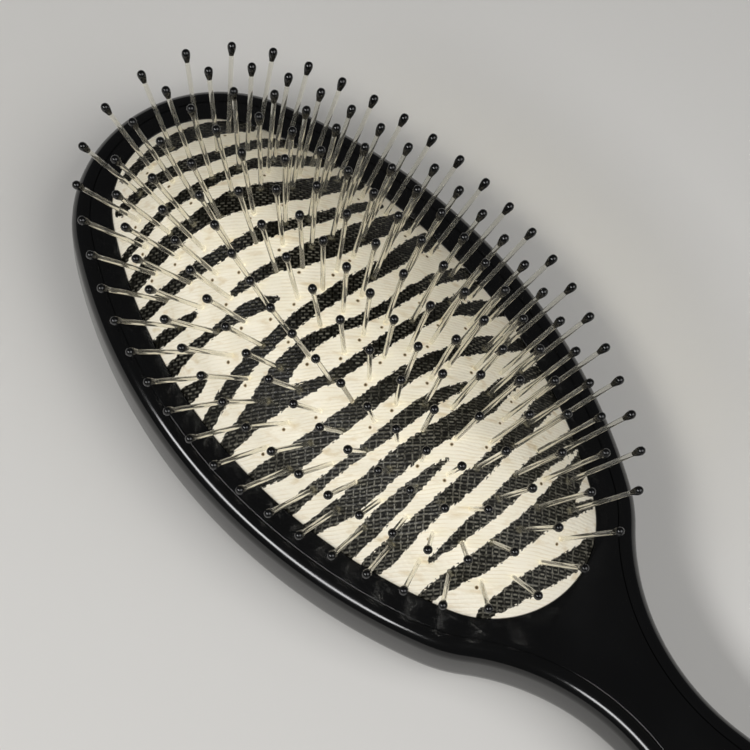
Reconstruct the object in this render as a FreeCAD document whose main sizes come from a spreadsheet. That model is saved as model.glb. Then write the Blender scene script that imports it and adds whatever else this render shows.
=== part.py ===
"""An oval air-cushion hair brush, lying on its back with the pins up.

The frame's origin is on the flat back, under the middle of the head. +Y runs along the
brush to the far end of the head, -Y down the handle, and +Z is up, out of the cushion.
"""
import FreeCAD, Part
import math
import os
import Sketcher

SIZES = [
    # Body outline, seen from the front.
    ("head_half_length", 76.5, "head centre to its far end"),
    ("head_half_width", 42.8, "head centre to its side"),
    ("head_end_radius", 32.4, "round ends of the head"),
    ("waist_half_width", 9.4, "handle at its narrowest, below the head"),
    ("neck_radius", 52.0, "hollow curve from the head into the handle"),
    ("grip_half_width", 13.0, "handle at its widest"),
    ("grip_radius", 110.0, "bulging side of the handle"),
    ("handle_end_radius", 10.0, "round end of the handle"),
    # Body section.
    ("body_thickness", 18.5, "flat back to flat front"),
    ("back_edge_radius", 8.0, "rounding round the back"),
    ("back_flat", 1.6, "least half width of the flat back"),
    ("front_bevel", 2.6, "bevel round the front"),
    ("rim_width", 4.0, "shell left outside the face plate"),
    ("plate_thickness", 2.5, "face plate"),
    ("seam_gap", 0.1, "face plate to shell, all round"),
    ("back_wall", 2.5, "floor of the air chamber"),
    # Cushion.
    ("border_length", 8.1, "head's far end to the cushion's opening"),
    ("border_width", 9.1, "head's side to the cushion's opening"),
    ("border_end", 10.0, "radius of the head's ends to that of the opening's"),
    ("cushion_gap", 0.1, "cushion to the plate's opening"),
    ("cushion_crown", 17.5, "cushion's top above the face"),
    ("crown_power", 1.8, "how round the crown is: 2 is a parabola"),
    ("cushion_wall", 1.4, "rubber, measured across"),
    ("crown_thickness", 9.5, "pad at its thickest, over the air"),
    ("roof_end_radius", 2.9, "round ends of the hollow's flat roof"),
    ("flange_width", 2.0, "cushion's edge held under the plate"),
    ("flange_thickness", 2.0, "cushion's edge held under the plate"),
    ("ledge_width", 3.4, "step in the shell that carries the flange"),
    # Pins.
    ("ring_step_length", 7.1, "ring to ring along the brush"),
    ("row_pitch", 6.6, "pins of the middle row"),
    ("lean_side", 1.04, "slope of the outer ring's pins at the sides"),
    ("lean_end", 0.56, "slope of the outer ring's pins at the ends"),
    ("lean_growth", 0.35, "how much faster the lean grows outwards"),
    ("pin_radius", 0.52, "clear nylon pin"),
    ("pin_length", 20.9, "cushion to the middle of the ball"),
    ("pin_gap", 0.12, "foot of a pin to the cushion"),
    ("ball_radius", 0.85, "black ball on the pin"),
    ("ball_tail", 1.1, "drop below the ball's middle"),
    ("ball_cap", 0.75, "ball's middle to its flat top"),
    ("ball_cap_radius", 0.42, "flat top of the ball"),
]
RING_PINS = [44, 40, 34, 28, 18]
ROW_PINS = 8
RING_STEPS = len(RING_PINS) + 1
CAP_STEP = RING_STEPS - 0.6
PIN_SIDES = 4

doc = FreeCAD.newDocument("cushion_brush")
sheet = doc.addObject("Spreadsheet::Sheet", "sizes")
for row, (alias, size, note) in enumerate(SIZES, start=1):
    sheet.set(f"A{row}", note)
    sheet.set(f"B{row}", str(size))
    sheet.setAlias(f"B{row}", alias)
doc.recompute()


def value(expression):
    """A number worked out by the document from the sheet's cells."""
    return float(sheet.evalExpression(expression))


def point(x, y, z=0.0):
    return FreeCAD.Vector(x, y, z)


# Sketches: an oval and the whole outline, both of tangent arcs, bound to the sheet.


def add_sketch(body, name, height):
    """An empty sketch level with the back, raised to a height worked out from the sheet."""
    sketch = body.newObject("Sketcher::SketchObject", name)
    level = next(f for f in body.Origin.OriginFeatures if f.Role == "XY_Plane")
    sketch.AttachmentSupport = (level, "")
    sketch.MapMode = "FlatFace"
    sketch.setExpression("AttachmentOffset.Base.z", height)
    return sketch


def arc(centre, radius, start, end):
    """An arc that runs anticlockwise from one angle to another."""
    circle = Part.Circle(centre, point(0, 0, 1), radius)
    return Part.ArcOfCircle(circle, start, end)


def bind(sketch, expression, kind, *places):
    """A dimension of the sketch that follows an expression."""
    number = sketch.addConstraint(Sketcher.Constraint(kind, *places, value(expression)))
    sketch.setExpression(f"Constraints[{number}]", expression)


def side_radius(length, width, end):
    """The radius of an oval's long sides, from its half sizes and its ends."""
    return f"(({length} - {end})^2 + ({width})^2 - ({end})^2) / (2 * ({width} - {end}))"


def oval_sketch(body, name, height, length, width, end):
    """An oval of four arcs: right side, far end, left side, near end."""
    sketch = add_sketch(body, name, height)
    big = side_radius(f"({length})", f"({width})", f"({end})")
    a, b, r, radius = value(length), value(width), value(end), value(big)
    turn = math.atan2(a - r, radius - b)
    sketch.addGeometry([
        arc(point(b - radius, 0), radius, -turn, turn),
        arc(point(0, a - r), r, turn, math.pi - turn),
        arc(point(radius - b, 0), radius, math.pi - turn, math.pi + turn),
        arc(point(0, r - a), r, math.pi + turn, 2 * math.pi - turn),
    ])
    sketch.addConstraint([
        Sketcher.Constraint("Symmetric", 0, 1, 0, 2, -1),
        Sketcher.Constraint("Symmetric", 0, 2, 2, 1, -2),
        Sketcher.Constraint("Symmetric", 0, 1, 2, 2, -2),
        Sketcher.Constraint("Equal", 0, 2),
        Sketcher.Constraint("Tangent", 0, 2, 1, 1),
        Sketcher.Constraint("Coincident", 1, 2, 2, 1),
        Sketcher.Constraint("Coincident", 2, 2, 3, 1),
        Sketcher.Constraint("Coincident", 3, 2, 0, 1),
        Sketcher.Constraint("Equal", 1, 3),
    ])
    bind(sketch, big, "Radius", 0)
    bind(sketch, end, "Radius", 1)
    bind(sketch, f"({length}) - ({end})", "DistanceY", -1, 1, 1, 3)
    return sketch


def outline_sketch(body, name, height, inset):
    """The head and handle in tangent arcs, drawn in by an inset from the body's edge."""
    sketch = add_sketch(body, name, height)
    side = side_radius("sizes.head_half_length", "sizes.head_half_width", "sizes.head_end_radius")
    a, b, r = (value(f"sizes.head_{word}") for word in ("half_length", "half_width", "end_radius"))
    waist, neck = value("sizes.waist_half_width"), value("sizes.neck_radius")
    grip, bulge = value("sizes.grip_half_width"), value("sizes.grip_radius")
    last, big, cut = value("sizes.handle_end_radius"), value(side), value(inset)
    # Each arc's centre lies where its circle touches the one before it.
    neck_y = r - a - math.sqrt((r + neck) ** 2 - (waist + neck) ** 2)
    head_turn = math.atan2(a - r, big - b)
    neck_turn = math.atan2(neck_y - (r - a), waist + neck)
    # The neck's hollow starts on the head's round end or, where the head is wide, on its side.
    from_end = neck_turn < -head_turn
    if not from_end:
        neck_y = -math.sqrt((big + neck) ** 2 - (waist + neck + big - b) ** 2)
        neck_turn = math.atan2(neck_y, waist + neck + big - b)
    grip_y = neck_y - math.sqrt((neck + bulge) ** 2 - (waist + neck - grip + bulge) ** 2)
    last_y = grip_y - math.sqrt((bulge - last) ** 2 - (bulge - grip) ** 2)
    grip_turn = math.atan2(neck_y - grip_y, waist + neck + bulge - grip)
    last_turn = math.atan2(last_y - grip_y, bulge - grip)
    full = math.pi
    right = [
        ((b - big, 0), big - cut, -head_turn if from_end else neck_turn, head_turn),
        ((waist + neck, neck_y), neck + cut, full + neck_turn, full + grip_turn),
        ((grip - bulge, grip_y), bulge - cut, last_turn, grip_turn),
    ]
    if from_end:
        right.insert(1, ((0, r - a), r - cut, neck_turn, -head_turn))
    arcs = [arc(point(0, a - r), r - cut, head_turn, full - head_turn)]
    arcs += [arc(point(*c), radius, min(u, v), max(u, v)) for c, radius, u, v in right]
    arcs += [arc(point(0, last_y), last - cut, full - last_turn, 2 * full + last_turn)]
    arcs += [
        arc(point(-c[0], c[1]), radius, full - max(u, v), full - min(u, v))
        for c, radius, u, v in right
    ]
    sketch.addGeometry(arcs)
    tail = len(right) + 1
    first_left = tail + 1
    far, side_r, near, hollow, swell = 0, 1, tail - 3, tail - 2, tail - 1
    start, finish, middle = 1, 2, 3
    # The right half is one tangent chain; a hollow arc runs the other way round.
    chain = [
        (far, start, side_r, finish),
        (near, start, hollow, start),
        (hollow, finish, swell, finish),
        (swell, start, tail, finish),
    ]
    if from_end:
        chain.insert(1, (side_r, start, near, finish))
    sketch.addConstraint([Sketcher.Constraint("Tangent", *link) for link in chain])
    # The left half mirrors it.
    for offset in range(len(right)):
        piece, twin = side_r + offset, first_left + offset
        sketch.addConstraint([
            Sketcher.Constraint("Symmetric", piece, start, twin, finish, -2),
            Sketcher.Constraint("Symmetric", piece, finish, twin, start, -2),
            Sketcher.Constraint("Equal", piece, twin),
        ])
    sketch.addConstraint([
        Sketcher.Constraint("Coincident", far, finish, first_left, start),
        Sketcher.Constraint("Coincident", tail, start, tail + len(right), finish),
        Sketcher.Constraint("PointOnObject", side_r, middle, -1),
    ])
    if from_end:
        sketch.addConstraint([
            Sketcher.Constraint("PointOnObject", near, middle, -2),
            Sketcher.Constraint("Equal", far, near),
        ])
    bind(sketch, f"sizes.head_end_radius - {inset}", "Radius", far)
    bind(sketch, f"{side} - {inset}", "Radius", side_r)
    bind(sketch, f"sizes.neck_radius + {inset}", "Radius", hollow)
    bind(sketch, f"sizes.grip_radius - {inset}", "Radius", swell)
    bind(sketch, f"sizes.handle_end_radius - {inset}", "Radius", tail)
    bind(sketch, "sizes.head_half_length - sizes.head_end_radius", "DistanceY", -1, 1, far, middle)
    bind(sketch, "sizes.waist_half_width + sizes.neck_radius", "DistanceX", -1, 1, hollow, middle)
    bind(sketch, "sizes.grip_radius - sizes.grip_half_width", "DistanceX", swell, middle, -1, 1)
    return sketch


# Features.


def add_body(label):
    body = doc.addObject("PartDesign::Body", label)
    body.Label = label
    return body


def add_pad(body, name, sketch, length):
    pad = body.newObject("PartDesign::Pad", name)
    pad.Profile = sketch
    pad.setExpression("Length", length)
    doc.recompute()
    return pad


def add_pocket(body, name, sketch, depth):
    """A pocket that goes down from its sketch, and has to take material away."""
    before = body.Shape.Volume
    pocket = body.newObject("PartDesign::Pocket", name)
    pocket.Profile = sketch
    pocket.setExpression("Length", depth)
    doc.recompute()
    if body.Shape.Volume > before - 1.0:
        raise RuntimeError(f"{name} cuts nothing")
    return pocket


def add_loft(body, kind, name, sketches, ruled):
    loft = body.newObject(kind, name)
    loft.Profile = sketches[0]
    loft.Sections = sketches[1:]
    loft.Ruled = ruled
    doc.recompute()
    return loft


def dress_edges(body, kind, name, base, level, prop, size):
    """Rounds or bevels every edge of the base that lies level at a height."""
    height = value(level)
    names = [
        f"Edge{i}" for i, edge in enumerate(base.Shape.Edges, start=1)
        if abs(edge.BoundBox.ZMin - height) + abs(edge.BoundBox.ZMax - height) < 1e-4
    ]
    dressed = body.newObject(kind, name)
    dressed.Base = (base, names)
    dressed.setExpression(prop, size)
    doc.recompute()
    return dressed


FACE = "sizes.body_thickness"
PLATE_UNDER = f"{FACE} - sizes.plate_thickness"
FLANGE_UNDER = f"{PLATE_UNDER} - sizes.flange_thickness"
HOLLOW_RISE = "sizes.cushion_crown - sizes.crown_thickness"
HOLLOW_ROOF = f"{FACE} + {HOLLOW_RISE}"
HOLLOW_SLOPE = (
    "sizes.head_end_radius - sizes.border_end - sizes.cushion_gap"
    " - sizes.cushion_wall - sizes.roof_end_radius"
)
# The rounding round the back leaves a flat strip at the handle's narrowest places.
BACK_ROUND = (
    "min(sizes.back_edge_radius; sizes.waist_half_width - sizes.back_flat;"
    " sizes.handle_end_radius - sizes.back_flat)"
)


OPENING = [
    "(sizes.head_half_length - sizes.border_length)",
    "(sizes.head_half_width - sizes.border_width)",
    "(sizes.head_end_radius - sizes.border_end)",
]


def opening_oval(grow):
    """Half length, half width and end radius of the plate's opening, grown by an amount."""
    return [f"{size} + {grow}" for size in OPENING]


# Back shell: the moulded head and handle, with a recess for the face plate, a ledge for the
# cushion's flange and the air chamber under the cushion.
back_shell = add_body("back_shell")
shell_outline = outline_sketch(back_shell, "shell_outline", "0", "0")
shell_block = add_pad(back_shell, "shell_block", shell_outline, FACE)
back_round = dress_edges(
    back_shell, "PartDesign::Fillet", "back_round", shell_block, "0", "Radius", BACK_ROUND)
dress_edges(
    back_shell, "PartDesign::Chamfer", "front_edge", back_round, FACE, "Size", "sizes.front_bevel")
recess = outline_sketch(back_shell, "recess", FACE, "sizes.rim_width")
add_pocket(back_shell, "plate_recess", recess, "sizes.plate_thickness")
seat = oval_sketch(back_shell, "seat", PLATE_UNDER, *opening_oval("sizes.flange_width"))
add_pocket(back_shell, "flange_seat", seat, "sizes.flange_thickness")
chamber = oval_sketch(
    back_shell, "chamber", FLANGE_UNDER, *opening_oval("(sizes.flange_width - sizes.ledge_width)"))
add_pocket(back_shell, "air_chamber", chamber, f"{FLANGE_UNDER} - sizes.back_wall")

# Face plate: the flat front of head and handle, let into the shell, which holds the
# cushion's flange down round its opening.
face_plate = add_body("face_plate")
plate_outline = outline_sketch(
    face_plate, "plate_outline", PLATE_UNDER, "(sizes.rim_width + sizes.seam_gap)")
add_pad(face_plate, "plate", plate_outline, "sizes.plate_thickness")
opening = oval_sketch(face_plate, "opening", FACE, *opening_oval("0"))
add_pocket(face_plate, "plate_opening", opening, "sizes.plate_thickness")


# Cushion: a domed rubber pad faced with printed canvas. Its level lines are the ovals that
# the rings of pins stand on, from the plate's opening in to the middle row.


def ring_oval(step, inset="0"):
    """The oval a number of ring steps in from the opening, drawn in by an inset."""
    share = f"{1 - step / RING_STEPS}"
    skin = f"(sizes.cushion_gap + {inset})"
    length, width, end = OPENING
    return [
        f"{length} - {step} * sizes.ring_step_length - {skin}",
        f"{width} * {share} - {skin}",
        f"{end} * {share} - {skin}",
    ]


def ring_height(step):
    """The height of that oval on the cushion's dome."""
    share = f"{1 - step / RING_STEPS}"
    return f"{FACE} + sizes.cushion_crown * (1 - {share} ^ sizes.crown_power)"


dome = add_body("dome")
flange = oval_sketch(
    dome, "flange", FLANGE_UNDER, *opening_oval("(sizes.flange_width - sizes.cushion_gap)"))
add_pad(dome, "flange_ring", flange, "sizes.flange_thickness")
neck = oval_sketch(dome, "neck", PLATE_UNDER, *ring_oval(0))
add_pad(dome, "neck_ring", neck, "sizes.plate_thickness")
outer_steps = [*range(RING_STEPS), CAP_STEP]
outer = [
    oval_sketch(dome, f"outer_{i}", ring_height(step), *ring_oval(step))
    for i, step in enumerate(outer_steps)
]
add_loft(dome, "PartDesign::AdditiveLoft", "crown", outer, False)
hollow = add_body("hollow")
mouth = oval_sketch(hollow, "mouth", FLANGE_UNDER, *ring_oval(0, "sizes.cushion_wall"))
air = add_pad(hollow, "air", mouth, f"{HOLLOW_ROOF} - ({FLANGE_UNDER})")
slope = dress_edges(
    hollow, "PartDesign::Chamfer", "slope", air, HOLLOW_ROOF, "Size", HOLLOW_SLOPE)
slope.ChamferType = "Two distances"
slope.FlipDirection = True
slope.setExpression("Size2", HOLLOW_RISE)
cushion = doc.addObject("Part::Cut", "cushion")
cushion.Base = dome
cushion.Tool = hollow
cushion.Label = "cushion"
doc.recompute()


# One pin and one ball, each upright with the cushion's surface at its zero.


def faceted(levels):
    """A solid of flat sides through regular polygons, each at a height and a radius."""
    corners = []
    for height, radius in levels:
        turns = [2 * math.pi * i / PIN_SIDES for i in range(PIN_SIDES)]
        corners.append([point(radius * math.cos(t), radius * math.sin(t), height) for t in turns])
    outlines = [corners[0], corners[-1]]
    for low, high in zip(corners, corners[1:]):
        for i in range(PIN_SIDES):
            outlines.append([low[i - 1], low[i], high[i], high[i - 1]])
    faces = [Part.Face(Part.makePolygon([*outline, outline[0]])) for outline in outlines]
    return Part.Solid(Part.Shell(faces))


pin_top = value("sizes.pin_length - sizes.ball_tail")
pin_radius = value("sizes.pin_radius")
pin = faceted([(value("sizes.pin_gap"), pin_radius), (pin_top, pin_radius)])
ball = faceted([
    (pin_top, pin_radius),
    (value("sizes.pin_length"), value("sizes.ball_radius")),
    (value("sizes.pin_length + sizes.ball_cap"), value("sizes.ball_cap_radius")),
])


# Where the pins stand: evenly round each oval, the first on the brush's long axis.


def ring_roots(step, count):
    """Points spaced evenly round an oval of the dome, clockwise from its far end."""
    sizes = ring_oval(step)
    a, b, r = (value(expression) for expression in sizes)
    radius = value(side_radius(*(f"({expression})" for expression in sizes)))
    turn = math.atan2(a - r, radius - b)
    end_run = r * (math.pi / 2 - turn)
    side_run = 2 * radius * turn
    half_run = 2 * end_run + side_run
    z = value(ring_height(step))
    roots = []
    for i in range(count):
        run = 2 * half_run * i / count
        hand = 1 if run <= half_run else -1
        run = min(run, 2 * half_run - run)
        if run < end_run:
            angle = math.pi / 2 - run / r
            x, y = r * math.cos(angle), a - r + r * math.sin(angle)
        elif run < end_run + side_run:
            angle = turn - (run - end_run) / radius
            x, y = b - radius + radius * math.cos(angle), radius * math.sin(angle)
        else:
            angle = -turn - (run - end_run - side_run) / r
            x, y = r * math.cos(angle), r - a + r * math.sin(angle)
        roots.append(point(hand * x, y, z))
    return roots


def row_roots():
    """The middle row, along the ridge of the dome."""
    z = value(f"{ring_height(CAP_STEP)}")
    pitch = value("sizes.row_pitch")
    return [point(0, (i - (ROW_PINS - 1) / 2) * pitch, z) for i in range(ROW_PINS)]


def pin_direction(root):
    """Pins spread like rays: upright in the middle, leaning outwards towards the edge."""
    length, width, _ = (value(expression) for expression in ring_oval(1))
    u, v = root.x / width, root.y / length
    growth = 1 + value("sizes.lean_growth") * (u * u + v * v - 1)
    return point(growth * value("sizes.lean_side") * u, growth * value("sizes.lean_end") * v, 1)


def standing(shape, root):
    """A copy of an upright shape, set at a root and leaned along its pin."""
    turn = FreeCAD.Rotation(point(0, 0, 1), pin_direction(root))
    copy = shape.copy()
    copy.Placement = FreeCAD.Placement(root, turn)
    return copy


def add_group(label, shape, roots):
    """Separate solids of one shape, one at each root."""
    group = doc.addObject("Part::Feature", label)
    group.Shape = Part.makeCompound([standing(shape, root) for root in roots])
    group.Label = label
    return group


rings = [ring_roots(step, count) for step, count in enumerate(RING_PINS, start=1)]
rings.append(row_roots())
pin_nodes = []
for number, roots in enumerate(rings, start=1):
    pin_nodes.append(add_group(f"pins_ring_{number}", pin, roots))
    pin_nodes.append(add_group(f"tips_ring_{number}", ball, roots))
doc.recompute()

# Every object has to have worked before anything is written.
nodes = [back_shell, face_plate, cushion, *pin_nodes]
failed = [item.Name for item in doc.Objects if "Invalid" in item.State or "Error" in item.State]
failed += [node.Label for node in nodes if node.Shape.isNull() or not node.Shape.isValid()]
if failed:
    raise RuntimeError(f"failed: {failed}")
os.makedirs("parts", exist_ok=True)
for node in nodes:
    node.Shape.exportStep(os.path.join("parts", f"{node.Label}.step"))
    print(f"{node.Label}: {len(node.Shape.Solids)} solids, {node.Shape.Volume:.1f} mm3")
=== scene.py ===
import math

import bmesh
import bpy
import numpy as np
from mathutils import Matrix, Vector


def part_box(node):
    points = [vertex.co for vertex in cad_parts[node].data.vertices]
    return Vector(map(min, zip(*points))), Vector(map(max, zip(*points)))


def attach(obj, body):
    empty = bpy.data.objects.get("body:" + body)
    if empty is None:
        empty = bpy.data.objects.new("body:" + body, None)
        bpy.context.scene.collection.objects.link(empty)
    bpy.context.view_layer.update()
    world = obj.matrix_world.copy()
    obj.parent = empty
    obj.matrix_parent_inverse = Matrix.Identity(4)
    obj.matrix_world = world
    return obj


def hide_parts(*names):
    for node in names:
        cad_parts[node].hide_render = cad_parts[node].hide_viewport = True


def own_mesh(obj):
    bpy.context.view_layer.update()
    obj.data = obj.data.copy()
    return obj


# An oval air-cushion hair brush, lying on its back with the pins up.
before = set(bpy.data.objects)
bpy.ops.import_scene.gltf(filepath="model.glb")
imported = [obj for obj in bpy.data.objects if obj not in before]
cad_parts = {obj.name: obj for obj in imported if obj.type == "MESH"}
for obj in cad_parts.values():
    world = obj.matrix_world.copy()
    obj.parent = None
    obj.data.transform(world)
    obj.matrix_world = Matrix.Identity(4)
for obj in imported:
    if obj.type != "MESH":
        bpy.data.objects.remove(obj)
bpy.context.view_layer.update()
MM = 0.001


# Back shell: the head and handle, one injection moulding of black ABS. A round-edged tray whose
# rim stands round the face plate, with a ledge for the cushion's edge and an air chamber.
HEAD_HALF_LENGTH = 76.5 * MM
HEAD_HALF_WIDTH = 42.8 * MM
HEAD_END_RADIUS = 32.4 * MM
WAIST_HALF_WIDTH = 9.4 * MM
NECK_RADIUS = 52.0 * MM
GRIP_HALF_WIDTH = 13.0 * MM
GRIP_RADIUS = 110.0 * MM
HANDLE_END_RADIUS = 10.0 * MM
OUTLINE_STEP = 1.5 * MM
FEWEST_ARC_STEPS = 3
FACE_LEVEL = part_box("face_plate")[1].z
PLATE_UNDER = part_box("face_plate")[0].z
BACK_ROUND = 7.8 * MM
FRONT_ROUND = 3.6 * MM
ROUND_STEPS = 8
RIM_WIDTH = 4.0 * MM
OPENING_HALF_LENGTH = 68.4 * MM
OPENING_HALF_WIDTH = 33.7 * MM
OPENING_END_RADIUS = 22.4 * MM
FLANGE_WIDTH = 2.0 * MM
LEDGE_WIDTH = 3.4 * MM
FLANGE_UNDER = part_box("cushion")[0].z
CHAMBER_FLOOR = 2.5 * MM
SHELL_SMOOTH_ANGLE = math.radians(35)


def arc_points(centre, radius, start, end):
    """Points along an arc, its end left out, a step apart."""
    count = max(FEWEST_ARC_STEPS, round(radius * abs(end - start) / OUTLINE_STEP))
    turns = [start + (end - start) * i / count for i in range(count)]
    return [(centre[0] + radius * math.cos(t), centre[1] + radius * math.sin(t)) for t in turns]


def side_circle(length, width, end):
    """Radius of an oval's long sides, and the turn where they meet its round ends."""
    radius = ((length - end) ** 2 + width ** 2 - end ** 2) / (2 * (width - end))
    return radius, math.atan2(length - end, radius - width)


def oval_points(length, width, end):
    """An oval of four arcs, anticlockwise from its lower right."""
    radius, turn = side_circle(length, width, end)
    half_turn = math.pi
    points = arc_points((width - radius, 0), radius, -turn, turn)
    points += arc_points((0, length - end), end, turn, half_turn - turn)
    points += arc_points((radius - width, 0), radius, half_turn - turn, half_turn + turn)
    points += arc_points((0, end - length), end, half_turn + turn, 2 * half_turn - turn)
    return points


def brush_points():
    """The outline of head and handle: tangent arcs, anticlockwise from the far end."""
    end_y = HEAD_HALF_LENGTH - HEAD_END_RADIUS
    side, head_turn = side_circle(HEAD_HALF_LENGTH, HEAD_HALF_WIDTH, HEAD_END_RADIUS)
    waist, grip = WAIST_HALF_WIDTH + NECK_RADIUS, GRIP_RADIUS - GRIP_HALF_WIDTH
    neck_y = -end_y - math.sqrt((HEAD_END_RADIUS + NECK_RADIUS) ** 2 - waist ** 2)
    grip_y = neck_y - math.sqrt((NECK_RADIUS + GRIP_RADIUS) ** 2 - (waist + grip) ** 2)
    tail_y = grip_y - math.sqrt((GRIP_RADIUS - HANDLE_END_RADIUS) ** 2 - grip ** 2)
    near_turn = math.atan2(neck_y + end_y, waist)
    grip_turn = math.atan2(neck_y - grip_y, waist + grip)
    tail_turn = math.atan2(tail_y - grip_y, grip)
    half_turn = math.pi
    left = arc_points((0, end_y), HEAD_END_RADIUS, half_turn / 2, half_turn - head_turn)
    left += arc_points(
        (side - HEAD_HALF_WIDTH, 0), side, half_turn - head_turn, half_turn + head_turn)
    left += arc_points(
        (0, -end_y), HEAD_END_RADIUS, half_turn + head_turn, half_turn - near_turn)
    left += arc_points((-waist, neck_y), NECK_RADIUS, -near_turn, -grip_turn)
    left += arc_points(
        (grip, grip_y), GRIP_RADIUS, half_turn - grip_turn, half_turn - tail_turn)
    left += arc_points((0, tail_y), HANDLE_END_RADIUS, half_turn - tail_turn, half_turn * 1.5)
    tail_end = (0, tail_y - HANDLE_END_RADIUS)
    right = [(-x, y) for x, y in reversed(left[1:])]
    return left + [tail_end] + right


def turn_face(piece, upwards):
    """Makes the selected face look up or down."""
    face = next(f for f in bmesh.from_edit_mesh(piece.data).faces if f.select)
    if (face.normal.z > 0) != upwards:
        bpy.ops.mesh.flip_normals()


def flat_piece(name, points, level):
    """A single flat face on an outline, facing up, open for editing with the face selected."""
    bpy.ops.object.select_all(action="DESELECT")
    bpy.ops.mesh.primitive_circle_add(vertices=len(points), radius=1, fill_type="NGON")
    piece = bpy.context.object
    piece.name = name
    for vertex, (x, y) in zip(piece.data.vertices, points):
        vertex.co = (x, y, level)
    bpy.ops.object.mode_set(mode="EDIT")
    bpy.ops.mesh.select_mode(type="FACE")
    bpy.ops.mesh.select_all(action="SELECT")
    turn_face(piece, True)
    return piece


def round_over(radius):
    """Draws the selected face in along a quarter circle, so that its edge is round."""
    turns = [math.pi / 2 * i / ROUND_STEPS for i in range(ROUND_STEPS + 1)]
    for low, high in zip(turns, turns[1:]):
        bpy.ops.mesh.inset(
            thickness=radius * (math.cos(low) - math.cos(high)),
            depth=radius * (math.sin(high) - math.sin(low)))


def extrude_to(piece, level):
    """Pulls the selected face or edges up or down to a level."""
    mesh = bmesh.from_edit_mesh(piece.data)
    now = next(v.co.z for v in mesh.verts if v.select)
    bpy.ops.mesh.extrude_region_move(TRANSFORM_OT_translate={"value": (0, 0, level - now)})


def leave_editing():
    """Turns all faces outwards and goes back to object mode."""
    bpy.ops.mesh.select_all(action="SELECT")
    bpy.ops.mesh.normals_make_consistent(inside=False)
    bpy.ops.object.mode_set(mode="OBJECT")


def cut_out(piece, points, low, high):
    """Cuts an upright hole with an outline out of a piece, from one level to another."""
    cutter = flat_piece("cutter", points, low)
    extrude_to(cutter, high)
    leave_editing()
    cut = piece.modifiers.new("cut", "BOOLEAN")
    cut.operation = "DIFFERENCE"
    cut.solver = "EXACT"
    cut.object = cutter
    bpy.ops.object.select_all(action="DESELECT")
    bpy.context.view_layer.objects.active = piece
    piece.select_set(True)
    bpy.ops.object.modifier_apply(modifier=cut.name)
    bpy.data.objects.remove(cutter)


shell = flat_piece("shell_moulding", brush_points(), FACE_LEVEL - FRONT_ROUND)
round_over(FRONT_ROUND)
bpy.ops.mesh.inset(thickness=RIM_WIDTH - FRONT_ROUND, depth=0)
extrude_to(shell, PLATE_UNDER)
bpy.ops.mesh.select_mode(type="EDGE")
bpy.ops.mesh.select_all(action="DESELECT")
bpy.ops.mesh.select_non_manifold(extend=False)
extrude_to(shell, BACK_ROUND)
bpy.ops.mesh.edge_face_add()
bpy.ops.mesh.select_mode(type="FACE")
turn_face(shell, False)
round_over(BACK_ROUND)
leave_editing()
opening = (OPENING_HALF_LENGTH, OPENING_HALF_WIDTH, OPENING_END_RADIUS)
seat = [size + FLANGE_WIDTH for size in opening]
chamber = [size - LEDGE_WIDTH for size in seat]
cut_out(shell, oval_points(*seat), FLANGE_UNDER, FACE_LEVEL)
cut_out(shell, oval_points(*chamber), CHAMBER_FLOOR, FACE_LEVEL)
bpy.ops.object.shade_smooth_by_angle(angle=SHELL_SMOOTH_ANGLE)


def linear(hex_colour):
    """A colour written as sRGB hex, as the linear values that a shader takes."""
    parts = [int(hex_colour[i:i + 2], 16) / 255 for i in (1, 3, 5)]
    curve = [c / 12.92 if c <= 0.04045 else ((c + 0.055) / 1.055) ** 2.4 for c in parts]
    return (*curve, 1.0)


def add_node(tree, kind, inputs=None, **settings):
    """Adds a node, sets its properties, and links or sets its inputs."""
    node = tree.nodes.new(kind)
    for name, setting in settings.items():
        setattr(node, name, setting)
    for name, source in (inputs or {}).items():
        if isinstance(source, bpy.types.NodeSocket):
            tree.links.new(source, node.inputs[name])
        else:
            node.inputs[name].default_value = source
    return node


def new_material(name):
    """An empty material and the node its surface goes into."""
    material = bpy.data.materials.new(name)
    material.use_nodes = True
    material.node_tree.nodes.clear()
    output = material.node_tree.nodes.new("ShaderNodeOutputMaterial")
    return material, material.node_tree, output


def give(piece, material):
    """The piece's only material."""
    piece.data.materials.clear()
    piece.data.materials.append(material)


# Polished ABS, moulded in a mirror-finish tool: deep black with sharp reflections, a slight
# orange peel where it shrank, and a faint haze of handling that dulls it in patches.
POLISHED_BLACK = "#060606"
ABS_IOR = 1.54
CLEAN_ROUGHNESS = 0.09
HAZED_ROUGHNESS = 0.19
PEEL_SIZE = 9.0 * MM
PEEL_DEPTH = 0.3 * MM
PEEL_STRENGTH = 0.06
HAZE_SIZE = 22.0 * MM
polished_abs, tree, output = new_material("polished_black_abs")
place = add_node(tree, "ShaderNodeTexCoord").outputs["Object"]
peel = add_node(tree, "ShaderNodeTexNoise", {
    "Vector": place, "Scale": 1 / PEEL_SIZE, "Detail": 1.0}).outputs["Fac"]
haze = add_node(tree, "ShaderNodeTexNoise", {
    "Vector": place, "Scale": 1 / HAZE_SIZE, "Detail": 4.0}).outputs["Fac"]
dulled = add_node(tree, "ShaderNodeMapRange", {
    "Value": haze, "From Min": 0.35, "From Max": 0.75,
    "To Min": CLEAN_ROUGHNESS, "To Max": HAZED_ROUGHNESS}).outputs["Result"]
ripple = add_node(tree, "ShaderNodeBump", {
    "Height": peel, "Strength": PEEL_STRENGTH, "Distance": PEEL_DEPTH}).outputs["Normal"]
surface = add_node(tree, "ShaderNodeBsdfPrincipled", {
    "Base Color": linear(POLISHED_BLACK), "IOR": ABS_IOR, "Roughness": dulled, "Normal": ripple})
tree.links.new(surface.outputs["BSDF"], output.inputs["Surface"])
give(shell, polished_abs)
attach(shell, "body")
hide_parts("back_shell")


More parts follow.
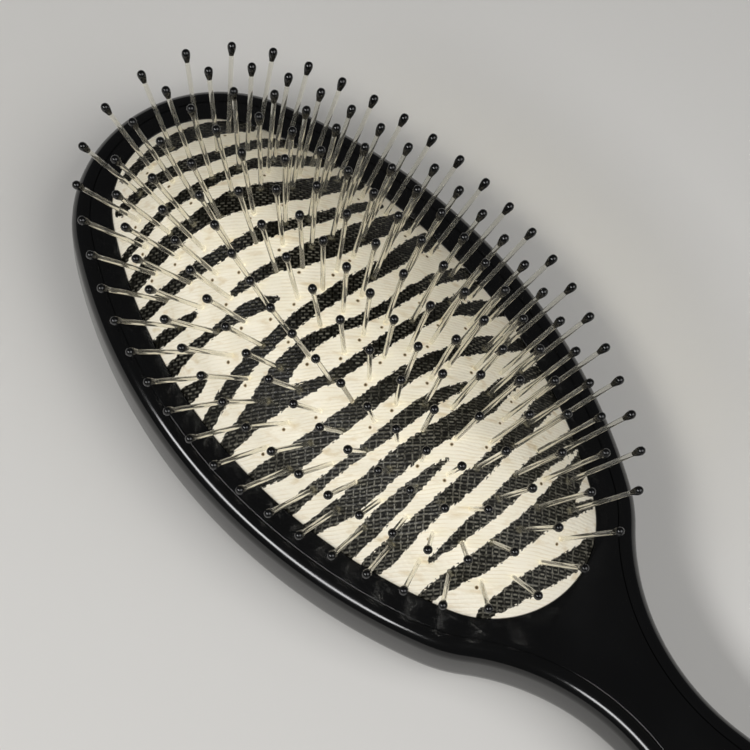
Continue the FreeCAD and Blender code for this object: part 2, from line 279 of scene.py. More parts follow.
# Face plate: the flat black front of head and handle, moulded apart and welded into the shell's
# rim. Its crisp edges show as a thin line, and its oval opening holds the cushion's edge down.
SEAM_GAP = 0.1 * MM
EDGE_BREAK = 0.18 * MM
EDGE_SEGMENTS = 2
EDGE_ANGLE = math.radians(60)
PLATE_SMOOTH_ANGLE = math.radians(50)
plate = flat_piece("face_plate_moulding", brush_points(), FACE_LEVEL)
bpy.ops.mesh.inset(thickness=RIM_WIDTH + SEAM_GAP, depth=0)
bpy.ops.mesh.select_all(action="INVERT")
bpy.ops.mesh.delete(type="FACE")
bpy.ops.mesh.select_all(action="SELECT")
extrude_to(plate, PLATE_UNDER)
leave_editing()
cut_out(plate, oval_points(*opening), PLATE_UNDER - SEAM_GAP, FACE_LEVEL + SEAM_GAP)
edges = plate.modifiers.new("broken_edges", "BEVEL")
edges.width = EDGE_BREAK
edges.segments = EDGE_SEGMENTS
edges.limit_method = "ANGLE"
edges.angle_limit = EDGE_ANGLE
bpy.ops.object.modifier_apply(modifier=edges.name)
bpy.ops.object.shade_smooth_by_angle(angle=PLATE_SMOOTH_ANGLE)
give(plate, polished_abs)
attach(plate, "body")
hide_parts("face_plate")


# Cushion: a domed rubber pad faced with printed cotton canvas, held by its edge under the plate.
# A grid that fills the opening's oval is laid on the dome, and its edge is tucked into the opening.
CUSHION_GAP = 0.1 * MM
CUSHION_TUCK = 2.0 * MM
GRID_SPAN = 40
GRID_CUTS = 2
CANVAS_SMOOTH_ANGLE = math.radians(50)
cushion_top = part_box("cushion")[1].z
rim = oval_points(*[size - CUSHION_GAP for size in opening])
cushion = flat_piece("cushion_canvas", rim, cushion_top + CUSHION_TUCK)
bpy.ops.mesh.delete(type="ONLY_FACE")
bpy.ops.mesh.select_mode(type="EDGE")
bpy.ops.mesh.select_all(action="SELECT")
bpy.ops.mesh.fill_grid(span=GRID_SPAN)
bpy.ops.mesh.select_all(action="SELECT")
bpy.ops.mesh.subdivide(number_cuts=GRID_CUTS)
bpy.ops.object.mode_set(mode="OBJECT")
laid = cushion.modifiers.new("laid_on_dome", "SHRINKWRAP")
laid.wrap_method = "PROJECT"
laid.use_project_z = True
laid.use_positive_direction = False
laid.use_negative_direction = True
laid.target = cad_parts["cushion"]
bpy.ops.object.modifier_apply(modifier=laid.name)
bpy.ops.object.mode_set(mode="EDIT")
bpy.ops.mesh.select_all(action="DESELECT")
bpy.ops.mesh.select_non_manifold(extend=False)
for corner in bmesh.from_edit_mesh(cushion.data).verts:
    if corner.select:
        corner.co.z = FACE_LEVEL
bpy.ops.mesh.extrude_region_move(TRANSFORM_OT_translate={"value": (0, 0, -CUSHION_TUCK)})
bpy.ops.mesh.edge_face_add()
leave_editing()
bpy.ops.object.shade_smooth_by_angle(angle=CANVAS_SMOOTH_ANGLE)

# The zebra print, drawn stripe by stripe from the far end to the handle. Each stripe is a row of
# points across the cushion, on the stripe's middle: x, y and half the width there, in millimetres.
STRIPES = [
    [(-11, 63, 1.5), (-5, 63.4, 1.9), (0, 62.7, 2.7), (5, 62.1, 2.9), (9, 61, 3.1),
     (12, 59.9, 3.1), (17, 57.8, 3.1)],
    [(-17, 57.2, 1.4), (-10, 56.3, 1.7), (-5, 55.4, 1.8), (0, 53.7, 2.3), (5, 51.9, 1.8),
     (10, 50.7, 1.7), (20, 48.9, 2), (25, 46.8, 2)],
    [(-23.5, 48, 1), (-15, 48.3, 1.1), (-10, 48.2, 1.25), (-5, 47.1, 1.6), (0, 46.1, 1.35),
     (10, 44.3, 1.7), (15, 42.9, 2.2), (20, 41.6, 2.2), (26, 39.2, 2.3)],
    [(-26.5, 41.6, 1.8), (-20, 42, 2.2), (-10, 40.7, 2.2), (-5, 39.5, 2.6), (0, 37.9, 3.4),
     (5, 35.9, 3.4), (10, 34.2, 3.2), (20, 32.4, 2.9), (27, 31.3, 2.6)],
    [(-28.5, 34.8, 1.6), (-20, 33.7, 1.75), (-10, 30.8, 1.6), (-5, 29.1, 1.6), (0, 27.8, 1.9),
     (5, 26.1, 1.4), (10, 25.1, 1.5), (20, 24, 1.4), (27, 23.4, 1.5)],
    [(-30.5, 27.8, 1.3), (-27, 27, 1.5), (-24, 26.2, 1.5), (-21.5, 25.7, 0.7)],
    [(-32, 21, 1.7), (-27, 20.8, 1.3), (-22, 19.7, 1.1), (-13, 17.1, 1.7), (-10, 15.8, 1.7),
     (-8.2, 14.8, 0.6)],
    [(-13.7, 22.4, 0.8), (-10, 21.8, 1.3), (-5, 20.7, 1.5), (0, 19, 2.3), (5, 17.9, 2.7),
     (10, 17.2, 3), (20, 17.2, 2.8), (31, 17.2, 2.5)],
    [(-33.5, 14.8, 2), (-31, 14.1, 1.8), (-28, 13.6, 0.6)],
    [(-33.5, 6.5, 1.6), (-29, 7.6, 1.6), (-24, 8.5, 1.7), (-20, 8.8, 1.6), (-12, 8.6, 1.5),
     (3, 7.6, 1.8), (15, 7.7, 1.9), (20, 8.5, 2), (25, 9.5, 2.2), (31, 10.3, 2.4)],
    [(-34, 0, 1.8), (-29, 0, 2.3), (-24, 0.3, 3), (-20, 1.5, 2.8), (-15, 2.8, 2.2),
     (-10, 2.8, 1.75), (-6, 2, 1.5), (-2, 0.9, 1.15), (2, -0.3, 1.25), (7, -0.8, 1.25),
     (18, -0.2, 1.4), (25, 0.2, 1.5), (33, -0.4, 1.8)],
    [(-23, -1.5, 2), (-20, -2, 2.1), (-18, -2.7, 2), (-16, -3.7, 1.6), (-14, -4.6, 1.3),
     (-10, -6.1, 1.3), (-5, -6.9, 1.4), (5, -7.2, 1.5), (15, -7.1, 1.6), (20, -6.7, 1.6),
     (25, -5.7, 1.1), (33, -3.9, 1)],
    [(16, -7.9, 0.9), (20, -8.1, 1.3), (25, -9.2, 1.7), (30, -10.3, 2.5), (33, -10.8, 2.2)],
    [(-34, -9, 2), (-30, -10.8, 2.6), (-25, -12.5, 2.7), (-20, -13.4, 2.4), (-10, -14.9, 2.1),
     (5, -15.9, 1.9), (12, -16.5, 1.6), (20, -17.6, 2.1), (25, -18.9, 2.3), (33, -21, 1.3)],
    [(-33, -18.8, 1.4), (-25, -20.1, 1.15), (-20, -20.9, 0.9), (-10, -22.4, 1.4), (0, -23.1, 1.6),
     (5, -23.6, 1.3), (10, -24.2, 0.8), (12.5, -24.4, 0.4)],
    [(-32, -24.5, 1.6), (-28, -26, 1.9), (-24, -27.2, 2.3), (-12, -28.3, 2.4), (0, -29.8, 2.3),
     (5, -30.1, 2.4), (10, -29.9, 2.4), (20, -28, 1.8), (26, -27.6, 1.5), (33, -27.7, 1.7)],
    [(-30, -34, 1.5), (-25, -33.9, 1.85), (-20, -34.1, 1.9), (-10, -34.5, 1.25),
     (-3.8, -34.9, 0.4)],
    [(-28, -39.3, 2), (-22, -40, 2.1), (-15, -40.3, 1.7), (-4, -40.9, 1.8), (1, -40.7, 1.7),
     (6, -39.9, 1.6), (16, -37.6, 1.9), (26, -34.5, 2.3), (32, -33.2, 2.5)],
    [(-17.5, -47, 0.5), (-12, -47.6, 1.1), (-5, -47.8, 1.6), (0, -47.6, 1.9),
     (10, -46.2, 1.9), (27, -43.8, 2.1)],
    [(-24, -51, 1), (-20, -51.7, 1.5), (-10, -54.1, 2.1), (-5, -54.6, 2.4), (5, -54.7, 2.8),
     (10, -54.1, 3.2), (15, -52.6, 2.9), (20, -50.3, 2.1), (26, -48.4, 2)],
    [(8, -55.6, 1.8), (14, -57, 1.2), (19, -57.3, 0.9)],
    [(-16, -61.5, 1), (-10, -62.4, 1.75), (-5, -63.1, 2.1), (5, -64.5, 2), (9, -64.7, 2),
     (13, -64, 1.8)],
]


def smooth_through(xs, ys, x):
    """The height at x of a smooth curve through points, level past its ends."""
    slopes = np.gradient(ys, xs)
    i = np.clip(np.searchsorted(xs, x) - 1, 0, len(xs) - 2)
    step = xs[i + 1] - xs[i]
    t = np.clip((x - xs[i]) / step, 0, 1)
    rise = ys[i] * (1 + 2 * t) * (1 - t) ** 2 + ys[i + 1] * t * t * (3 - 2 * t)
    bend = step * t * (1 - t) * (slopes[i] * (1 - t) - slopes[i + 1] * t)
    return rise + bend


def depth_in_stripe(points):
    """How deep points lie inside a stripe, all in mm, and below zero on the cream between."""
    across, along = points[:, 0], points[:, 1]
    depth = np.full(len(points), -np.inf)
    for stripe in STRIPES:
        xs, ys, halves = np.array(stripe, dtype=float).T
        off_middle = along - smooth_through(xs, ys, across)
        past_end = np.maximum(np.maximum(xs[0] - across, across - xs[-1]), 0)
        inside = smooth_through(xs, halves, across) - np.hypot(off_middle, past_end)
        depth = np.maximum(depth, inside)
    return depth


def write_on_corners(piece, name, values):
    """Gives each corner of a piece's mesh a value that its material can read."""
    piece.data.attributes.new(name, "FLOAT", "POINT").data.foreach_set("value", values)


corners_mm = np.array([v.co for v in cushion.data.vertices]) / MM
write_on_corners(cushion, "stripe", depth_in_stripe(corners_mm))

# Printed cotton canvas: a plain weave of warm white threads with faint tan streaks along them, and
# painted shade in tan in the grooves between the threads. The ink takes thread by thread, so its
# edges are stepped, and thread tops show grey: as flecks, partly worn ink and partly painted sheen,
# and as a grid of painted sheen towards the handle and the left, where the lamps shine off the ink.
# Round each pin the ink is frayed off.
CANVAS_CREAM = "#f5eedc"
CANVAS_TAN = "#d3bd94"
INK_BLACK = "#080702"
# grey of worn ink, and of painted sheen on the ink's thread tops
INK_WEAR_AND_SHEEN_GREY = "#79766b"
INK_FRAYED = "#86806a"
CLOTH_ROUGHNESS = 0.85
INK_ROUGHNESS = 0.5
RUBBED_ROUGHNESS = 0.25
CANVAS_SPECULAR = 0.15
THREAD_WIDTH = 0.72 * MM
THREAD_TURN = math.radians(41)
THREAD_SWAY = 1.0 * MM
SWAY_LENGTH = 6.667 * MM
STREAK_WIDTH = 1.667 * MM
STREAK_SQUEEZE = 0.25
STREAK_STRENGTH = 0.8
# how much painted shade the grooves between threads take, varying in patches
LIGHTEST_GROOVE_SHADE = 0.1
DEEPEST_GROOVE_SHADE = 0.4
PATCH_SIZE = 3.333 * MM
LEAST_WEAR_AND_SHEEN = 0.3
SHEEN_GRID_STRENGTH = 0.9
LEAST_SHEEN_GRID = 0.1
FRAY_STRENGTH = 0.5
FIBRE_SIZE = 0.7143 * MM  # real fibres are too fine to show, so these are as wide as a thread
FIBRE_RAGGEDNESS_MM = 0.6
THREAD_STEP_MM = 0.45
INK_FROM_MM = 0.42
INK_FULL_MM = 0.6
CROSSING_RISE = 0.3
RIB_RISE = 0.6
WEAVE_DEPTH = 0.15 * MM
WEAVE_STRENGTH = 0.45
TOWARDS_HANDLE_LEFT = (-0.6, -0.8, 0)
SHEEN_SIDE_FROM = 5.0 * MM
SHEEN_SIDE_TO = 30.0 * MM
zebra_canvas, tree, output = new_material("printed_zebra_canvas")
place = add_node(tree, "ShaderNodeTexCoord").outputs["Object"]

# The weave: threads that sway a little, over and under each other
along_threads = add_node(tree, "ShaderNodeMapping", {
    "Vector": place, "Rotation": (0, 0, THREAD_TURN)}).outputs["Vector"]
sway = add_node(tree, "ShaderNodeTexNoise", {
    "Vector": place, "Scale": 1 / SWAY_LENGTH, "Detail": 1.0}).outputs["Color"]
swaying = add_node(tree, "ShaderNodeVectorMath", {
    0: sway, 1: (THREAD_SWAY,) * 3, 2: along_threads}, operation="MULTIPLY_ADD").outputs["Vector"]
thread = add_node(tree, "ShaderNodeVectorMath", {
    0: swaying, 1: (1 / THREAD_WIDTH,) * 3}, operation="MULTIPLY").outputs["Vector"]
cell = add_node(tree, "ShaderNodeVectorMath", {0: thread}, operation="FLOOR").outputs["Vector"]
chance = add_node(tree, "ShaderNodeTexWhiteNoise", {
    "Vector": cell}, noise_dimensions="2D").outputs["Value"]
half_turns = add_node(tree, "ShaderNodeVectorMath", {
    0: thread, 1: (math.pi,) * 3}, operation="MULTIPLY").outputs["Vector"]
waves = add_node(tree, "ShaderNodeVectorMath", {0: half_turns}, operation="SINE").outputs["Vector"]
wave = add_node(tree, "ShaderNodeSeparateXYZ", {"Vector": waves}).outputs
crossing = add_node(tree, "ShaderNodeMath", {
    0: wave["X"], 1: wave["Y"]}, operation="MULTIPLY").outputs["Value"]
ridges = add_node(tree, "ShaderNodeVectorMath", {0: waves}, operation="ABSOLUTE").outputs["Vector"]
ridge = add_node(tree, "ShaderNodeSeparateXYZ", {"Vector": ridges}).outputs
weft = add_node(tree, "ShaderNodeMath", {
    0: ridge["Y"], 1: crossing}, operation="ADD").outputs["Value"]
lattice = add_node(tree, "ShaderNodeMath", {
    0: wave["X"], 1: wave["Y"]}, operation="MAXIMUM").outputs["Value"]
wander = add_node(tree, "ShaderNodeTexNoise", {
    "Vector": place, "Scale": 1 / PATCH_SIZE, "Detail": 2.0}).outputs["Fac"]
fibre = add_node(tree, "ShaderNodeTexNoise", {
    "Vector": place, "Scale": 1 / FIBRE_SIZE, "Detail": 2.0}).outputs["Fac"]

# Where the ink is: inside the stripes, with ragged edges that step from thread to thread
stripe_depth = add_node(tree, "ShaderNodeAttribute", attribute_name="stripe").outputs["Fac"]
ragged = add_node(tree, "ShaderNodeMath", {
    0: fibre, 1: FIBRE_RAGGEDNESS_MM, 2: stripe_depth}, operation="MULTIPLY_ADD").outputs["Value"]
stepped = add_node(tree, "ShaderNodeMath", {
    0: chance, 1: THREAD_STEP_MM, 2: ragged}, operation="MULTIPLY_ADD").outputs["Value"]
inked = add_node(tree, "ShaderNodeMapRange", {
    "Value": stepped, "From Min": INK_FROM_MM, "From Max": INK_FULL_MM},
    interpolation_type="SMOOTHSTEP").outputs["Result"]

# The bare cloth: tan streaks along the threads, and painted shade in tan in the gaps between
# threads, deeper in patches
stretched = add_node(tree, "ShaderNodeMapping", {
    "Vector": along_threads, "Scale": (STREAK_SQUEEZE, 1, 1)}).outputs["Vector"]
streak = add_node(tree, "ShaderNodeTexNoise", {
    "Vector": stretched, "Scale": 1 / STREAK_WIDTH, "Detail": 3.0}).outputs["Fac"]
streaked = add_node(tree, "ShaderNodeMapRange", {
    "Value": streak, "From Min": 0.55, "From Max": 0.8,
    "To Max": STREAK_STRENGTH}).outputs["Result"]
groove_shade = add_node(tree, "ShaderNodeMapRange", {
    "Value": wander, "From Min": 0.4, "From Max": 0.6,
    "To Min": LIGHTEST_GROOVE_SHADE, "To Max": DEEPEST_GROOVE_SHADE}).outputs["Result"]
# painted shade: the cream turns tan in the grooves between the weft threads
gap = add_node(tree, "ShaderNodeMapRange", {
    "Value": ridge["Y"], "From Max": 0.6, "To Min": 1.0, "To Max": 0.0}).outputs["Result"]
shade_between_threads = add_node(tree, "ShaderNodeMath", {
    0: gap, 1: groove_shade}, operation="MULTIPLY").outputs["Value"]
tinted = add_node(tree, "ShaderNodeMath", {
    0: streaked, 1: shade_between_threads}, operation="MAXIMUM").outputs["Value"]
cloth = add_node(tree, "ShaderNodeMixRGB", {
    "Fac": tinted, "Color1": linear(CANVAS_CREAM), "Color2": linear(CANVAS_TAN)}).outputs["Color"]

# The grey on the ink: flecks on thread tops everywhere, partly worn ink and partly painted sheen,
# and a broken grid of painted sheen towards the handle and the left
dash_length = add_node(tree, "ShaderNodeMapRange", {
    "Value": weft, "From Min": 0.3, "From Max": 1.0},
    interpolation_type="SMOOTHSTEP").outputs["Result"]
dash_width = add_node(tree, "ShaderNodeMapRange", {
    "Value": ridge["Y"], "From Min": 0.55, "From Max": 1.0},
    interpolation_type="SMOOTHSTEP").outputs["Result"]
dash = add_node(tree, "ShaderNodeMath", {
    0: dash_length, 1: dash_width}, operation="MULTIPLY").outputs["Value"]
# the flecks come and go in patches: partly worn ink, partly painted sheen
wear_and_sheen_patches = add_node(tree, "ShaderNodeMapRange", {
    "Value": wander, "From Min": 0.4, "From Max": 0.6, "To Min": LEAST_WEAR_AND_SHEEN}).outputs["Result"]
patchy = add_node(tree, "ShaderNodeMath", {
    0: wear_and_sheen_patches, 1: chance}, operation="MULTIPLY").outputs["Value"]
wear_and_sheen_fleck = add_node(tree, "ShaderNodeMath", {
    0: dash, 1: patchy}, operation="MULTIPLY").outputs["Value"]
grid = add_node(tree, "ShaderNodeMapRange", {
    "Value": lattice, "From Min": 0.6, "From Max": 1.0,
    "To Max": SHEEN_GRID_STRENGTH}).outputs["Result"]
broken = add_node(tree, "ShaderNodeMapRange", {
    "Value": fibre, "From Min": 0.4, "From Max": 0.64, "To Min": LEAST_SHEEN_GRID}).outputs["Result"]
broken_grid = add_node(tree, "ShaderNodeMath", {
    0: grid, 1: broken}, operation="MULTIPLY").outputs["Value"]
sheen_grid_and_fleck = add_node(tree, "ShaderNodeMath", {
    0: broken_grid, 1: wear_and_sheen_fleck}, operation="MAXIMUM").outputs["Value"]
# painted sheen: the grey grid shows more towards the handle and the left, where the lamps shine off
# the ink
nearer = add_node(tree, "ShaderNodeVectorMath", {
    0: place, 1: TOWARDS_HANDLE_LEFT}, operation="DOT_PRODUCT").outputs["Value"]
sheen_side = add_node(tree, "ShaderNodeMapRange", {
    "Value": nearer, "From Min": SHEEN_SIDE_FROM, "From Max": SHEEN_SIDE_TO}).outputs["Result"]
ink_wear_and_sheen = add_node(tree, "ShaderNodeMapRange", {
    "Value": sheen_side, "To Min": wear_and_sheen_fleck, "To Max": sheen_grid_and_fleck}).outputs["Result"]
ink = add_node(tree, "ShaderNodeMixRGB", {
    "Fac": ink_wear_and_sheen, "Color1": linear(INK_BLACK), "Color2": linear(INK_WEAR_AND_SHEEN_GREY)}).outputs["Color"]
by_pin = add_node(tree, "ShaderNodeAttribute", attribute_name="frayed").outputs["Fac"]
loosened = add_node(tree, "ShaderNodeMath", {
    0: by_pin, 1: fibre}, operation="MULTIPLY").outputs["Value"]
frayed = add_node(tree, "ShaderNodeMapRange", {
    "Value": loosened, "From Min": 0.15, "From Max": 0.45,
    "To Max": FRAY_STRENGTH}).outputs["Result"]
frayed_ink = add_node(tree, "ShaderNodeMixRGB", {
    "Fac": frayed, "Color1": ink, "Color2": linear(INK_FRAYED)}).outputs["Color"]
print_colour = add_node(tree, "ShaderNodeMixRGB", {
    "Fac": inked, "Color1": cloth, "Color2": frayed_ink}).outputs["Color"]

# The surface: matt cloth, smoother ink that shines on rubbed thread tops, and ribs of thread
smooth_tops = add_node(tree, "ShaderNodeMapRange", {
    "Value": lattice, "From Min": 0.55, "From Max": 0.95,
    "To Min": INK_ROUGHNESS, "To Max": RUBBED_ROUGHNESS}).outputs["Result"]
sheen_of_ink = add_node(tree, "ShaderNodeMapRange", {
    "Value": inked, "To Min": CLOTH_ROUGHNESS, "To Max": smooth_tops}).outputs["Result"]
ribbed = add_node(tree, "ShaderNodeMath", {
    0: crossing, 1: CROSSING_RISE, 2: ridge["Y"]}, operation="MULTIPLY_ADD").outputs["Value"]
fuzzy = add_node(tree, "ShaderNodeMath", {
    0: ribbed, 1: RIB_RISE, 2: fibre}, operation="MULTIPLY_ADD").outputs["Value"]
woven = add_node(tree, "ShaderNodeBump", {
    "Height": fuzzy, "Strength": WEAVE_STRENGTH, "Distance": WEAVE_DEPTH}).outputs["Normal"]
surface = add_node(tree, "ShaderNodeBsdfPrincipled", {
    "Base Color": print_colour, "Roughness": sheen_of_ink,
    "Specular IOR Level": CANVAS_SPECULAR, "Normal": woven})
tree.links.new(surface.outputs["BSDF"], output.inputs["Surface"])
give(cushion, zebra_canvas)
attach(cushion, "body")
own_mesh(cushion)
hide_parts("cushion")


# Pins: 172 clear nylon rods in five ovals and a middle row, pushed through the canvas so that they
# fan out from the dome. One rod is copied to all. A brown speck beside a foot is the punched hole.
RING_COUNT = 6
PIN_RADIUS = 0.52 * MM
PIN_SIDES = 16
PIN_SINK = 0.3 * MM
PIN_SMOOTH_ANGLE = math.radians(50)
SAME_POINT = 0.001 * MM
FRAY_RADIUS_MM = 1.5
SPECK_SIDES = 8
SPECK_RADIUS = 0.65 * MM
SPECK_OFFSET = Vector((-1.3, -0.35, 0)) * MM
SPECK_LIFT = 0.04 * MM
SPECK_TO_STRIPE_MM = 0.8


def pin_ends(node):
    """Foot and head of each pin of a CAD ring."""
    mesh = bmesh.new()
    mesh.from_mesh(node.data)
    bmesh.ops.remove_doubles(mesh, verts=mesh.verts, dist=SAME_POINT)
    left = dict.fromkeys(mesh.verts)
    ends = []
    while left:
        found = [left.popitem()[0]]
        for corner in found:  # grows until the whole pin is found
            near = [edge.other_vert(corner) for edge in corner.link_edges]
            near = [other for other in near if other in left]
            for other in near:
                del left[other]
            found.extend(near)
        by_height = sorted((v.co.copy() for v in found), key=lambda co: co.z)
        half = len(by_height) // 2
        foot = sum(by_height[:half], Vector()) / half
        head = sum(by_height[half:], Vector()) / half
        ends.append((foot, head))
    mesh.free()
    return ends


def copied(template, name, places):
    """One object of copies of a template, each set in its place."""
    bpy.ops.object.select_all(action="DESELECT")
    for place in places:
        twin = template.copy()
        twin.data = template.data.copy()
        bpy.context.collection.objects.link(twin)
        twin.matrix_world = place
        twin.select_set(True)
    bpy.context.view_layer.objects.active = twin
    bpy.ops.object.transform_apply(location=True, rotation=True, scale=True)
    bpy.ops.object.join()
    twin.name = name
    return twin


def standing(foot, direction):
    """The place of a piece modelled upright on the origin, stood on a point in a direction."""
    return Matrix.Translation(foot) @ direction.to_track_quat("Z", "Y").to_matrix().to_4x4()


# Clear nylon: water-white and slightly milky, so that a rod shows bright edges round a darker core
# and lets most of the lamps' light through to the cushion.
NYLON_TINT = "#f3f1e8"
LET_THROUGH = "#e8e5da"
NYLON_IOR = 1.53
NYLON_ROUGHNESS = 0.03
CLEAREST = 1.0
MILKIEST = 0.95
CLOUD_SIZE = 2.5 * MM
clear_nylon, tree, output = new_material("clear_nylon")
place = add_node(tree, "ShaderNodeTexCoord").outputs["Object"]
cloud = add_node(tree, "ShaderNodeTexNoise", {
    "Vector": place, "Scale": 1 / CLOUD_SIZE, "Detail": 2.0}).outputs["Fac"]
milky = add_node(tree, "ShaderNodeMapRange", {
    "Value": cloud, "To Min": CLEAREST, "To Max": MILKIEST}).outputs["Result"]
surface = add_node(tree, "ShaderNodeBsdfPrincipled", {
    "Base Color": linear(NYLON_TINT), "IOR": NYLON_IOR, "Roughness": NYLON_ROUGHNESS,
    "Transmission Weight": milky})
lamp_ray = add_node(tree, "ShaderNodeLightPath").outputs["Is Shadow Ray"]
lamp_light = add_node(tree, "ShaderNodeBsdfTransparent", {"Color": linear(LET_THROUGH)})
rod = add_node(tree, "ShaderNodeMixShader", {
    0: lamp_ray, 1: surface.outputs["BSDF"], 2: lamp_light.outputs["BSDF"]})
tree.links.new(rod.outputs["Shader"], output.inputs["Surface"])

# Punched holes: a fleck of the brown rubber under the canvas, with a tan stain that fades out
# unevenly into the canvas round it.
RUBBER_BROWN = "#45371d"
RUBBER_ROUGHNESS = 0.85
GRAIN_SIZE = 1.0 * MM
GRAIN_SHARE = 0.5
brown_rubber, tree, output = new_material("brown_rubber_stain")
place = add_node(tree, "ShaderNodeTexCoord").outputs["Object"]
grain = add_node(tree, "ShaderNodeTexNoise", {
    "Vector": place, "Scale": 1 / GRAIN_SIZE}).outputs["Fac"]
outwards = add_node(tree, "ShaderNodeAttribute", attribute_name="outwards").outputs["Fac"]
uneven = add_node(tree, "ShaderNodeMath", {
    0: grain, 1: GRAIN_SHARE, 2: outwards}, operation="MULTIPLY_ADD").outputs["Value"]
stain = add_node(tree, "ShaderNodeMapRange", {
    "Value": uneven, "From Min": 0.55, "From Max": 0.9}).outputs["Result"]
clean = add_node(tree, "ShaderNodeMapRange", {
    "Value": uneven, "From Min": 0.75, "From Max": 1.1}).outputs["Result"]
stained = add_node(tree, "ShaderNodeMixRGB", {
    "Fac": stain, "Color1": linear(RUBBER_BROWN), "Color2": linear(CANVAS_TAN)}).outputs["Color"]
fading = add_node(tree, "ShaderNodeMixRGB", {
    "Fac": clean, "Color1": stained, "Color2": linear(CANVAS_CREAM)}).outputs["Color"]
surface = add_node(tree, "ShaderNodeBsdfPrincipled", {
    "Base Color": fading, "Roughness": RUBBER_ROUGHNESS})
tree.links.new(surface.outputs["BSDF"], output.inputs["Surface"])

rings = [pin_ends(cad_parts[f"pins_ring_{i + 1}"]) for i in range(RING_COUNT)]
feet = [foot for foot, head in sum(rings, [])]
from_pin_mm = np.full(len(corners_mm), FRAY_RADIUS_MM)
for foot in feet:
    to_foot_mm = np.linalg.norm(corners_mm - np.array(foot) / MM, axis=1)
    from_pin_mm = np.minimum(from_pin_mm, to_foot_mm)
write_on_corners(cushion, "frayed", 1 - from_pin_mm / FRAY_RADIUS_MM)
first_foot, first_head = rings[0][0]
pin_length = (first_head - first_foot).length
bpy.ops.object.select_all(action="DESELECT")
bpy.ops.mesh.primitive_cylinder_add(
    vertices=PIN_SIDES, radius=PIN_RADIUS, depth=pin_length + PIN_SINK,
    location=(0, 0, (pin_length - PIN_SINK) / 2))
pin = bpy.context.object
bpy.ops.object.transform_apply(location=True)
bpy.ops.object.shade_smooth_by_angle(angle=PIN_SMOOTH_ANGLE)
give(pin, clear_nylon)
bpy.ops.object.select_all(action="DESELECT")
bpy.ops.mesh.primitive_circle_add(vertices=SPECK_SIDES, radius=SPECK_RADIUS, fill_type="TRIFAN")
speck = bpy.context.object
write_on_corners(speck, "outwards", [v.co.length / SPECK_RADIUS for v in speck.data.vertices])
give(speck, brown_rubber)
for i, ring in enumerate(rings):
    body = f"ring_{i + 1}"
    places = [standing(foot, head - foot) for foot, head in ring]
    pins = copied(pin, f"nylon_pins_{i + 1}", places)
    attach(pins, body)
    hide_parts(f"pins_{body}")
punched = [foot + SPECK_OFFSET for foot in feet]
on_cream = depth_in_stripe(np.array(punched) / MM) < -SPECK_TO_STRIPE_MM
beds = [
    cushion.ray_cast(hole + Vector((0, 0, cushion_top)), (0, 0, -1))[1:3]
    for hole, shows in zip(punched, on_cream) if shows]
holes = copied(
    speck, "pin_holes", [standing(at + normal * SPECK_LIFT, normal) for at, normal in beds])
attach(holes, "body")
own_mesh(holes)
bpy.data.objects.remove(pin)
bpy.data.objects.remove(speck)


# Ball tips: each pin's end is dipped in black resin, which runs to a drop with a shiny round end.
# A drop is drawn up from a disc ring by ring, and copied to all pins.
DROP_SIDES = 12
DROP_FOOT = -1.2 * MM
DROP_FOOT_RADIUS = 0.53 * MM
DROP_RINGS_MM = [  # height from the pin's end, and radius there
    (-0.7, 0.66), (-0.1, 0.83), (0.5, 0.94), (0.95, 0.95), (1.4, 0.82), (1.7, 0.56), (1.84, 0.22)]

# Dip resin: black and glossy, so that it mirrors the lamps as small bright spots, which slight runs
# in the coat blur here and there.
RESIN_BLACK = "#0a0a0a"
RESIN_IOR = 1.52
SHINY_ROUGHNESS = 0.04
BLURRED_ROUGHNESS = 0.12
RUN_SIZE = 1.25 * MM
dip_resin, tree, output = new_material("black_dip_resin")
place = add_node(tree, "ShaderNodeTexCoord").outputs["Object"]
runs = add_node(tree, "ShaderNodeTexNoise", {
    "Vector": place, "Scale": 1 / RUN_SIZE, "Detail": 1.0}).outputs["Fac"]
gloss = add_node(tree, "ShaderNodeMapRange", {
    "Value": runs, "To Min": SHINY_ROUGHNESS, "To Max": BLURRED_ROUGHNESS}).outputs["Result"]
surface = add_node(tree, "ShaderNodeBsdfPrincipled", {
    "Base Color": linear(RESIN_BLACK), "IOR": RESIN_IOR, "Roughness": gloss})
tree.links.new(surface.outputs["BSDF"], output.inputs["Surface"])

bpy.ops.object.select_all(action="DESELECT")
bpy.ops.mesh.primitive_circle_add(
    vertices=DROP_SIDES, radius=DROP_FOOT_RADIUS, fill_type="NGON", location=(0, 0, DROP_FOOT))
drop = bpy.context.object
bpy.ops.object.transform_apply(location=True)
bpy.ops.object.mode_set(mode="EDIT")
bpy.ops.mesh.select_mode(type="FACE")
bpy.ops.mesh.select_all(action="SELECT")
radius = DROP_FOOT_RADIUS
for ring_height, ring_radius in np.array(DROP_RINGS_MM) * MM:
    extrude_to(drop, ring_height)
    bpy.ops.transform.resize(value=(ring_radius / radius, ring_radius / radius, 1))
    radius = ring_radius
leave_editing()
bpy.ops.object.shade_smooth()
give(drop, dip_resin)
for i, ring in enumerate(rings):
    places = [standing(head, head - foot) for foot, head in ring]
    tips = copied(drop, f"ball_tips_{i + 1}", places)
    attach(tips, f"ring_{i + 1}")
    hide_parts(f"tips_ring_{i + 1}")
bpy.data.objects.remove(drop)


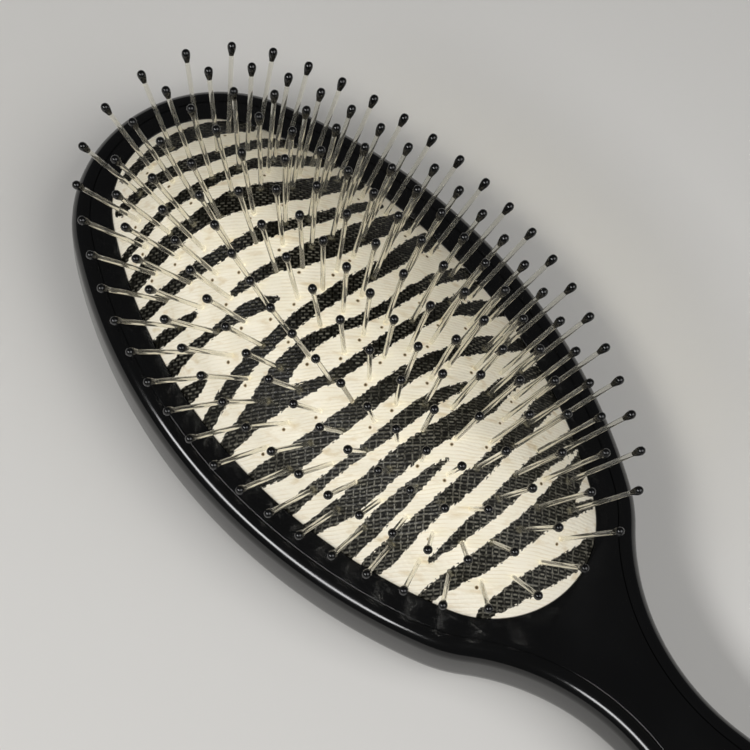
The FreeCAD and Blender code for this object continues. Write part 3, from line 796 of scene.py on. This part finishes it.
# Floor, light and camera: a matt pale table, a long softbox on the brush's left, a large one beyond
# its handle and faint light all round. The camera looks down from the lower left with a long lens.
FLOOR_SIZE = 3.0
FLOOR_GREY = "#dcdad6"
FLOOR_ROUGHNESS = 0.7
LIGHT_AIM = Vector((0, 0, 0.03))
ROOM_WHITE = "#d8dade"
ROOM_STRENGTH = 0.1
CAMERA_PLACE = Vector((-0.1644, -0.1605, 0.5162))
CAMERA_AIM = Vector((0.0019, -0.0064, 0.0185))
CAMERA_ROLL = math.radians(8.12)
CAMERA_LENS = 123.4
SENSOR_WIDTH = 36.0
bpy.ops.object.select_all(action="DESELECT")
bpy.ops.mesh.primitive_plane_add(size=FLOOR_SIZE)
floor = bpy.context.object
floor.name = "floor"
pale, tree, output = new_material("pale_table")
surface = add_node(tree, "ShaderNodeBsdfPrincipled", {
    "Base Color": linear(FLOOR_GREY), "Roughness": FLOOR_ROUGHNESS})
tree.links.new(surface.outputs["BSDF"], output.inputs["Surface"])
give(floor, pale)


def soft_light(name, place, width, height, power):
    """A softbox that faces the brush."""
    bpy.ops.object.light_add(type="AREA", location=place)
    lamp = bpy.context.object
    lamp.name = name
    lamp.data.shape = "RECTANGLE"
    lamp.data.size = width
    lamp.data.size_y = height
    lamp.data.energy = power
    lamp.rotation_euler = (LIGHT_AIM - Vector(place)).to_track_quat("-Z", "Y").to_euler()


soft_light("key_light", place=(-0.58, 0.06, 0.57), width=0.6, height=0.16, power=4.0)
soft_light("fill_light", place=(0.2, -0.65, 0.8), width=0.8, height=0.8, power=5.8)
world = bpy.data.worlds.new("studio")
bpy.context.scene.world = world
world.use_nodes = True
background = world.node_tree.nodes["Background"]
background.inputs["Color"].default_value = linear(ROOM_WHITE)
background.inputs["Strength"].default_value = ROOM_STRENGTH
bpy.ops.object.camera_add(location=CAMERA_PLACE)
camera = bpy.context.object
camera.name = "camera"
camera.data.lens = CAMERA_LENS
camera.data.sensor_width = SENSOR_WIDTH
camera.rotation_euler = (CAMERA_AIM - CAMERA_PLACE).to_track_quat("-Z", "Y").to_euler()
camera.rotation_euler.rotate_axis("Z", CAMERA_ROLL)
bpy.context.scene.camera = camera
bpy.context.scene.view_settings.view_transform = "Standard"
